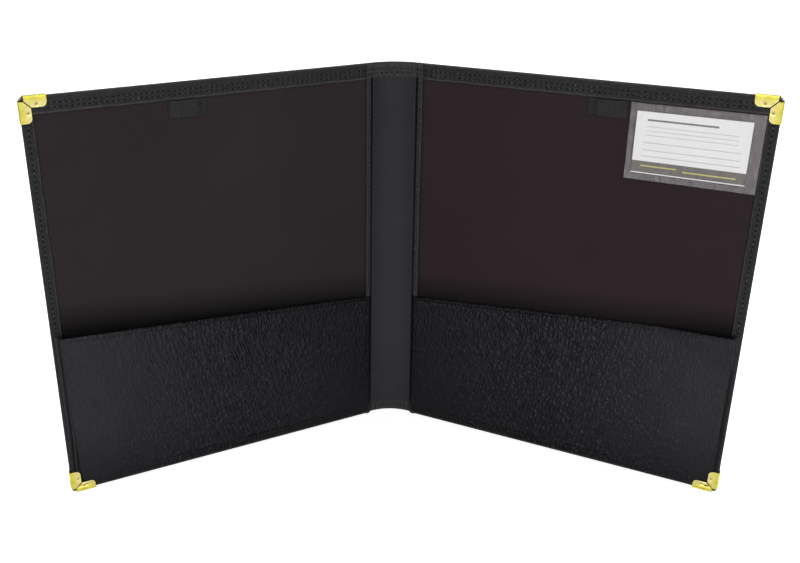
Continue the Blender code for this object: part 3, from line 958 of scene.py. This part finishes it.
def build_corner(side, at_top):
    """A pressed sheet corner: a plate behind, bent walls, and two mitred legs in front."""
    end = "top" if at_top else "bottom"
    name = f"{side}_{end}_corner"
    (_, tip_u), (back, front), (low, high) = extent(name, side)
    half = BRASS / 2
    level_back, level_front = back + half, front - half
    tip_u -= half
    tip_z = high - half if at_top else low + half
    upright = -1 if at_top else 1
    leg, width = CORNER_LEG - half, CORNER_WIDTH - half
    places = stations(CORNER_TIP, (width, 10), (leg - CORNER_END, 20), (leg, 8))

    def end_reach(a):
        """How far across a leg its rounded end reaches."""
        over = max(0.0, a - (leg - CORNER_END))
        return width - CORNER_END + math.sqrt(max(0.0, CORNER_END ** 2 - over ** 2))

    def pressed(a, b, foot_leg):
        """How far a leg is pushed in over its prong, and the foot's leg also by its knocks."""
        shift = -PRONG_DEPTH * hump(math.dist((a, b), PRONG), PRONG_RADIUS)
        for at_a, at_b, reach_a, reach_b, height in KNOCKS if foot_leg else ():
            shift += height * hump(a - at_a, reach_a) * hump(b - at_b, reach_b)
        return shift

    def section(a, foot_leg):
        """Distances from the edge and levels, from the front leg's edge round to the back."""
        reach_front = min(end_reach(a), max(0.0, a - CORNER_SLIT))
        diagonal = width + leg - CORNER_END - a if a < leg - CORNER_END else end_reach(a)
        reach_back = min(a, max(diagonal, 0.0))
        line = [(b, level_front + pressed(a, b, foot_leg))
                for b in spread(reach_front, CORNER_BEND, 18)]
        line += turned_edge(CORNER_BEND, level_front, level_back)[1:]
        line += [(b, level_back) for b in spread(CORNER_BEND, reach_back, 8)[1:]]
        return [(min(b, a), n) for b, n in line]

    surface = Surface(f"{side}_brass_{end}")
    on_left = side == "left"
    for swap in (False, True):
        flip = swap != on_left and on_left != at_top
        runs = [(a, section(a, foot_leg=not (swap or at_top))) for a in places]
        tip = [(a, [(b, level_back) for b in spread(CORNER_TIP - a, a, 8)])
               for a in spread(CORNER_TIP / 2, CORNER_TIP, 6)]
        for strip in (runs, tip):
            grid = []
            for a, line in strip:
                row = []
                run = line[0][0]
                for (b, n), (past, level) in zip(line, line[:1] + line):
                    x, y = (b, a) if swap else (a, b)
                    run -= math.hypot(b - past, n - level)
                    row.append((place(side, tip_u - x, n, tip_z + upright * y), (a, run)))
                grid.append(row)
            surface.add_grid(grid, flip=flip)
    obj = surface.finish(BRASS_SHEET if at_top else SCUFFED_LIT_BRASS, merge=0.00002,
                         thickness=BRASS, rim=0.0001)
    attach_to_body(obj, side + "_cover")
    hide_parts(name)


# Card and its sleeve

FILM_THICKNESS = 0.0002
FILM_WAVE = (0.00015, 0.03, 21.0)
SIDE_WELD = 0.004
FOOT_WELD = 0.006
WELD_EASE = 0.0016
WELD_LEVEL = 0.0004
WELD_RIB = 0.0024
RIB_HEIGHT = 0.0001


def build_card_sleeve():
    """Two films welded along three sides, the front one raised over the card."""
    (left, right), (back, front), (low, high) = extent("card_sleeve", "right")
    back_level = back + FILM_THICKNESS
    front_level = front - FILM_THICKNESS / 2

    def back_shape(u, z):
        return u, back_level, z

    def front_shape(u, z):
        side_way = min(u - left, right - u) - SIDE_WELD
        foot_way = z - low - FOOT_WELD
        raised = smooth_step(side_way / WELD_EASE) * smooth_step(foot_way / WELD_EASE)
        ribs = abs(math.sin(math.pi * (u + z) / WELD_RIB))
        weld = back_level + WELD_LEVEL + RIB_HEIGHT * ribs
        ripple = wander(u, z, FILM_WAVE) * raised
        return u, weld + (front_level - weld) * raised - abs(ripple), z

    columns = stations(left, (left + 0.008, 12), (right - 0.008, 30), (right, 12))
    rows = stations(low, (low + 0.010, 14), (high, 20))
    for name, shape in (("sleeve_back_film", back_shape), ("sleeve_front_film", front_shape)):
        film = sheet(name, "right", columns, rows, shape, FILM, FILM_THICKNESS, rim=0)
        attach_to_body(film, "right_cover")
    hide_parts("card_sleeve")


def build_card():
    """The card in the sleeve."""
    (left, right), (back, front), (low, high) = extent("name_card", "right")
    width, height = right - left, high - low

    def shape(a, b):
        return left + a, (back + front) / 2, low + b

    card = sheet("ruled_card", "right", spread(0, width, 8), spread(0, height, 6), shape,
                 printed_card("printed_card", width, height), front - back, rim=0.00005)
    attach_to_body(card, "card")
    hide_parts("name_card")


# Stitching


def add_bead(surface, side, middle, along, length, section, wound):
    """A small rounded bead that lies along a direction of the cover, about a middle (u, z).

    section(u, z, t) gives its half width, its half height and its level at t from -1 to 1. The
    flat position of a wound bead runs round it, and of any other over the cover.
    """
    rings = []
    for t in spread(-1, 1, 6):
        u, z = (middle[axis] + along[axis] * t * length / 2 for axis in (0, 1))
        half_width, half_height, level = section(u, z, t)
        ring = []
        for m in range(BEAD_SIDES):
            angle = m / BEAD_SIDES * 2 * math.pi
            at_u = u - along[1] * half_width * math.cos(angle)
            at_z = z + along[0] * half_width * math.cos(angle)
            ring.append((place(side, at_u, level + half_height * math.sin(angle), at_z),
                         (u + z, m / BEAD_SIDES) if wound else (at_u, at_z)))
        rings.append(ring)
    surface.add_grid(rings, wrap=True)


def sew(name, side, rows, level, attach, leather, back=False):
    """Rows of stitches as one piece, and the leather that puckers between them as another.

    Each row is a start and an end as (u, z). level(u, z) is the groove that the stitches lie in,
    and attach fixes a piece to its cover or bakes its placement.
    """
    outward = -1 if back else 1
    thread, puckers = Surface(name + "_stitches"), Surface(name + "_puckers")

    def stitch(u, z, t):
        thick = THREAD / 2 * (1 - 0.45 * t ** 4)
        return thick, 0.8 * thick, level(u, z) + outward * THREAD * (0.28 - 1.1 * t ** 4)

    def pucker(u, z, t):
        full = math.sqrt(1.02 - t * t)
        middle = GROOVE_DEPTH + PUCKER_RISE - PUCKER_HEIGHT / 2
        return (PUCKER_WIDTH / 2 * full, PUCKER_HEIGHT / 2 * full,
                level(u, z) + outward * middle)

    for start, end in rows:
        length = math.dist(start, end)
        count = max(1, int(length / STITCH_PITCH))
        along = [(b - a) / length for a, b in zip(start, end)]
        for k in range(count):
            at = [a + b * (k + 0.5) * length / count for a, b in zip(start, along)]
            add_bead(thread, side, at, along, STITCH_LENGTH, stitch, wound=True)
            if k < count - 1:
                at = [a + b * (k + 1) * length / count for a, b in zip(start, along)]
                add_bead(puckers, side, at, along, PUCKER_LENGTH, pucker, wound=False)
    attach(thread.finish(DARK_THREAD), side)
    attach(puckers.finish(leather), side)


def build_stitching(side):
    """Every row of stitches of one cover."""
    pocket = POCKETS[side]
    near, far = BAND_END + ROW_MARGIN / 2, COVER_WIDTH - CORNER_LEG + ROW_MARGIN
    low, high = FOOT + CORNER_LEG - ROW_MARGIN, TOP - CORNER_LEG + ROW_MARGIN
    bottom = LEATHERETTE / 2 - GROOVE_DEPTH

    def on_hem(u, z):
        return HEM_FRONT - GROOVE_DEPTH

    def on_back(u, z):
        return SKIN_BACK

    def on_strip(u, z):
        return band_level(u) + bottom

    def on_strip_end(u, z):
        return on_strip(u, z) + HEM_STEP

    def on_pocket(u, z):
        return pocket.level(u, z) + bottom

    hem = [((near, TOP - row), (far, TOP - row)) for row in TOP_ROWS]
    hem += [((COVER_WIDTH - row, max(low, pocket.foot)), (COVER_WIDTH - row, high))
            for row in SIDE_ROWS]
    foot = [((near, FOOT + row), (far, FOOT + row)) for row in FOOT_ROWS]
    crease_end = (CREASE_ROW, TOP - ROW_MARGIN)
    crease = [((CREASE_ROW, FOOT + ROW_MARGIN), crease_end)]
    ends = [((-HALF_SPINE, TOP - row), (BAND_END, TOP - row)) for row in TOP_ROWS]
    ends += [((-HALF_SPINE, FOOT + row), (PANEL_START, FOOT + row)) for row in SPINE_FOOT_ROWS]
    head = pocket.mouth(pocket.outer)
    mouth = [((PANEL_START + 0.003, pocket.mouth(PANEL_START) - MOUTH_ROW),
              (pocket.edge(head) - ROW_MARGIN, head - MOUTH_ROW))]
    # The puckers of the hem, the strip and the spine's ends take the paler leatherette: painted
    # highlight between the stitches.
    sew(side + "_hem", side, hem, on_hem, cover_ride, HIGHLIT_LEATHER)
    sew(side + "_back", side, hem + foot + crease, on_back, cover_ride, OUTER_LEATHER, back=True)
    sew(side + "_strip", side, [((CREASE_ROW, pocket.fold_head + 0.004), crease_end)], on_strip,
        fold_blend, HIGHLIT_LEATHER)
    sew(side + "_spine_ends", side, ends, on_strip_end, fold_blend, HIGHLIT_LEATHER)
    sew(side + "_pocket", side, mouth + foot, on_pocket, pocket_blend, POCKET_LEATHER)


# Stage, light and camera


def build_stage():
    """A white floor and backdrop in one sweep, with the folder's soft shadow on it."""
    nodes = Material("stage_white")
    nodes.look({"Base Color": (0.85, 0.85, 0.85, 1), "Roughness": 0.9, "Specular IOR Level": 0.0})
    direct, mirrored = nodes.seen()
    strength = nodes.math("MULTIPLY_ADD", mirrored, 0.15, nodes.math("MULTIPLY", direct, 0.7))
    glow = nodes.add("ShaderNodeEmission", {"Color": (1, 1, 1, 1), "Strength": strength})
    both = nodes.add("ShaderNodeAddShader", {0: nodes.shader.outputs[0], 1: glow.outputs[0]})
    nodes.give(nodes.tree.nodes["Material Output"], {"Surface": both.outputs[0]})
    reach, near, far, bend, height = 4.0, -3.0, 1.0, 1.2, 5.0
    line = [(near, 0.0)]
    line += [(far + bend * sine, bend * (1 - cosine)) for sine, cosine in quarter_turn(12)]
    line.append((far + bend, height))
    surface = Surface("stage")
    surface.add_grid([[((x, y, z), (x, y)) for y, z in line] for x in (-reach, reach)])
    surface.finish(nodes.material)


def add_lamp(name, position, target, size, power):
    """A soft square lamp that faces a point."""
    data = bpy.data.lights.new(name, "AREA")
    data.size = size
    data.energy = power
    lamp = bpy.data.objects.new(name, data)
    lamp.location = position
    lamp.rotation_euler = (Vector(target) - Vector(position)).to_track_quat("-Z", "Y").to_euler()
    bpy.context.collection.objects.link(lamp)


def build_light():
    """A white room and soft lamps from the front."""
    world = bpy.data.worlds.new("studio")
    bpy.context.scene.world = world
    nodes = Nodes(world)
    strength = nodes.ramp(nodes.math("MAXIMUM", *nodes.seen()), 0.0, 1.0, 0.5, 1.0)
    nodes.give(nodes.tree.nodes["Background"], {"Color": (1, 1, 1, 1), "Strength": strength})
    add_lamp("overhead", (0.3, 0.6, 2.3), (0, 0, 0.1), 0.9, 29)
    for side, sign in SIDES.items():
        add_lamp(side + "_front", (0.9 * sign, -2.2, 0.75), (0, 0, 0.15), 1.2, 14)


def build_camera():
    """The photograph's view: a little left of the middle, looking down at the open folder."""
    data = bpy.data.cameras.new("camera")
    data.sensor_width = 36
    data.lens = 44.07
    data.shift_x = 0.0521
    data.shift_y = 0.0074
    camera = bpy.data.objects.new("camera", data)
    camera.location = (-0.0323, -0.8035, 0.5197)
    camera.rotation_euler = (math.radians(90 - 23.5), 0, 0)
    bpy.context.collection.objects.link(camera)
    bpy.context.scene.camera = camera


for cover_side in SIDES:
    board = frame["nodes"][cover_side + "_cover_board"].data
    board.materials.clear()
    board.materials.append(BOARD)
    for build in (build_outer_leatherette, build_inner_strip, build_lining, build_pocket_front,
                  build_gusset, build_pencil_loop):
        build(cover_side)
    build_corner(cover_side, at_top=True)
    build_corner(cover_side, at_top=False)
    build_stitching(cover_side)
build_card_sleeve()
build_card()
build_stage()
build_light()
build_camera()
bpy.context.scene.view_settings.view_transform = "Standard"
